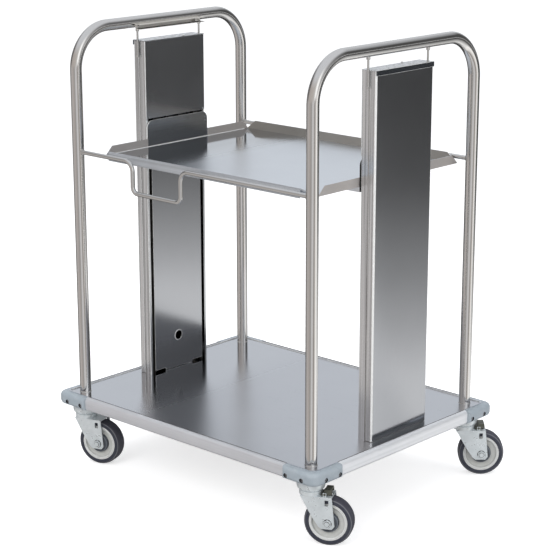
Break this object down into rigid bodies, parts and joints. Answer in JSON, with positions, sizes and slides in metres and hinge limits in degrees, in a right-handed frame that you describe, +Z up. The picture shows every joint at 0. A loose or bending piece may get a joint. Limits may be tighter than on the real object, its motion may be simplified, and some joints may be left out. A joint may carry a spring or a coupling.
{
  "type": "rack dispenser cart",
  "caption": "Wheeled cart with two bent-tube end frames, slim lift columns, a sprung tray between them that sinks as racks are loaded, guide wires and corner bumpers.",
  "frame": {"origin": "on the floor under the middle of the cart's outer box, casters included", "axes": "+Z up, +X from the left column to the right column, +Y from the front wire to the back wire"},
  "size_m": [0.8172, 0.6306, 0.9997],
  "materials": {
    "bright_steel": "polished",
    "wire_steel": "satin",
    "deck_steel": "polished",
    "frame_steel": "satin",
    "rail_aluminium": "satin",
    "bumper_plastic": "matte",
    "zinc": "satin",
    "pedal_steel": "satin",
    "wheel_plastic": "matte",
    "tyre_rubber": "matte",
    "column_steel": "satin",
    "panel_steel": "satin",
    "spring_steel": "satin",
    "carriage_steel": "satin",
    "roller_plastic": "matte",
    "tray_steel": "polished"
  },
  "bodies": {
    "cart": {"deck_pan": "deck_steel", "underframe": "frame_steel", "rail_front": "rail_aluminium", "rail_back": "rail_aluminium", "rail_left": "rail_aluminium", "rail_right": "rail_aluminium", "bumper_front_left": "bumper_plastic", "bumper_front_right": "bumper_plastic", "bumper_back_left": "bumper_plastic", "bumper_back_right": "bumper_plastic", "bumper_screws": "zinc", "raceways": "zinc", "kingpins": "zinc", "end_frame_left": "bright_steel", "end_frame_right": "bright_steel", "guide_wire_front": "wire_steel", "guide_wire_back": "wire_steel", "spring_anchors": "spring_steel", "tie_rods": "wire_steel", "tie_brackets": "wire_steel", "channel_front_left": "column_steel", "channel_back_left": "column_steel", "cover_left": "panel_steel", "inner_panel_left": "panel_steel", "access_panel_left": "panel_steel", "cap_left": "panel_steel", "channel_front_right": "column_steel", "channel_back_right": "column_steel", "cover_right": "panel_steel", "inner_panel_right": "panel_steel", "access_panel_right": "panel_steel", "cap_right": "panel_steel"},
    "lift": {"tray": "tray_steel", "carriage_left": "carriage_steel", "carriage_right": "carriage_steel", "springs_left": "spring_steel", "springs_right": "spring_steel"},
    "swivel_front_left": {"fork_front_left": "zinc", "axle_front_left": "zinc"},
    "wheel_front_left": {"wheel_front_left": "wheel_plastic", "tyre_front_left": "tyre_rubber"},
    "swivel_front_right": {"fork_front_right": "zinc", "axle_front_right": "zinc"},
    "wheel_front_right": {"wheel_front_right": "wheel_plastic", "tyre_front_right": "tyre_rubber"},
    "brake_front_right": {"brake_pedal_front_right": "pedal_steel"},
    "swivel_back_right": {"fork_back_right": "zinc", "axle_back_right": "zinc"},
    "wheel_back_right": {"wheel_back_right": "wheel_plastic", "tyre_back_right": "tyre_rubber"},
    "brake_back_right": {"brake_pedal_back_right": "pedal_steel"},
    "swivel_back_left": {"fork_back_left": "zinc", "axle_back_left": "zinc"},
    "wheel_back_left": {"wheel_back_left": "wheel_plastic", "tyre_back_left": "tyre_rubber"},
    "rollers_upper_left": {"rollers_upper_left": "roller_plastic"},
    "rollers_lower_left": {"rollers_lower_left": "roller_plastic"},
    "rollers_upper_right": {"rollers_upper_right": "roller_plastic"},
    "rollers_lower_right": {"rollers_lower_right": "roller_plastic"}
  },
  "joints": [
    {"name": "swivel_front_left", "type": "hinge", "parent": "cart", "child": "swivel_front_left", "pos_m": [-0.361, -0.2715, 0.11], "axis": [0, 0, 1], "continuous": true},
    {"name": "spin_front_left", "type": "hinge", "parent": "swivel_front_left", "child": "wheel_front_left", "pos_m": [-0.32412, -0.2588, 0.051], "axis": [-0.3256, 0.9455, 0], "continuous": true},
    {"name": "swivel_front_right", "type": "hinge", "parent": "cart", "child": "swivel_front_right", "pos_m": [0.323, -0.2715, 0.11], "axis": [0, 0, 1], "continuous": true},
    {"name": "spin_front_right", "type": "hinge", "parent": "swivel_front_right", "child": "wheel_front_right", "pos_m": [0.35727, -0.25289, 0.051], "axis": [-0.4772, 0.8788, 0], "continuous": true},
    {"name": "brake_front_right", "type": "hinge", "parent": "swivel_front_right", "child": "brake_front_right", "pos_m": [0.35112, -0.25623, 0.111], "axis": [-0.4772, 0.8788, 0], "range_deg": [0, 5]},
    {"name": "swivel_back_right", "type": "hinge", "parent": "cart", "child": "swivel_back_right", "pos_m": [0.323, 0.2445, 0.11], "axis": [0, 0, 1], "continuous": true},
    {"name": "spin_back_right", "type": "hinge", "parent": "swivel_back_right", "child": "wheel_back_right", "pos_m": [0.35198, 0.2706, 0.051], "axis": [-0.6691, 0.7431, 0], "continuous": true},
    {"name": "brake_back_right", "type": "hinge", "parent": "swivel_back_right", "child": "brake_back_right", "pos_m": [0.34678, 0.26591, 0.111], "axis": [-0.6691, 0.7431, 0], "range_deg": [0, 5]},
    {"name": "swivel_back_left", "type": "hinge", "parent": "cart", "child": "swivel_back_left", "pos_m": [-0.361, 0.2445, 0.11], "axis": [0, 0, 1], "continuous": true},
    {"name": "spin_back_left", "type": "hinge", "parent": "swivel_back_left", "child": "wheel_back_left", "pos_m": [-0.32656, 0.26281, 0.051], "axis": [-0.4695, 0.8829, 0], "continuous": true},
    {"name": "tray_slide", "type": "slide", "parent": "cart", "child": "lift", "axis": [0, 0, 1], "range_m": [-0.47, 0], "stiffness_N_per_m": 900, "springref_m": 0.16, "deforming": ["springs_left", "springs_right"]},
    {"name": "roll_upper_left", "type": "hinge", "parent": "lift", "child": "rollers_upper_left", "pos_m": [-0.35135, -0.0005, 0.745], "axis": [0, 1, 0], "continuous": true},
    {"name": "roll_lower_left", "type": "hinge", "parent": "lift", "child": "rollers_lower_left", "pos_m": [-0.35135, -0.0005, 0.68], "axis": [0, 1, 0], "continuous": true},
    {"name": "roll_upper_right", "type": "hinge", "parent": "lift", "child": "rollers_upper_right", "pos_m": [0.31335, -0.0005, 0.745], "axis": [0, 1, 0], "continuous": true},
    {"name": "roll_lower_right", "type": "hinge", "parent": "lift", "child": "rollers_lower_right", "pos_m": [0.31335, -0.0005, 0.68], "axis": [0, 1, 0], "continuous": true}
  ],
  "couplings": [
    {"joint": "roll_upper_left", "follows": "tray_slide", "rad_per_m": -64.516},
    {"joint": "roll_lower_left", "follows": "tray_slide", "rad_per_m": -64.516},
    {"joint": "roll_upper_right", "follows": "tray_slide", "rad_per_m": 64.516},
    {"joint": "roll_lower_right", "follows": "tray_slide", "rad_per_m": 64.516}
  ]
}
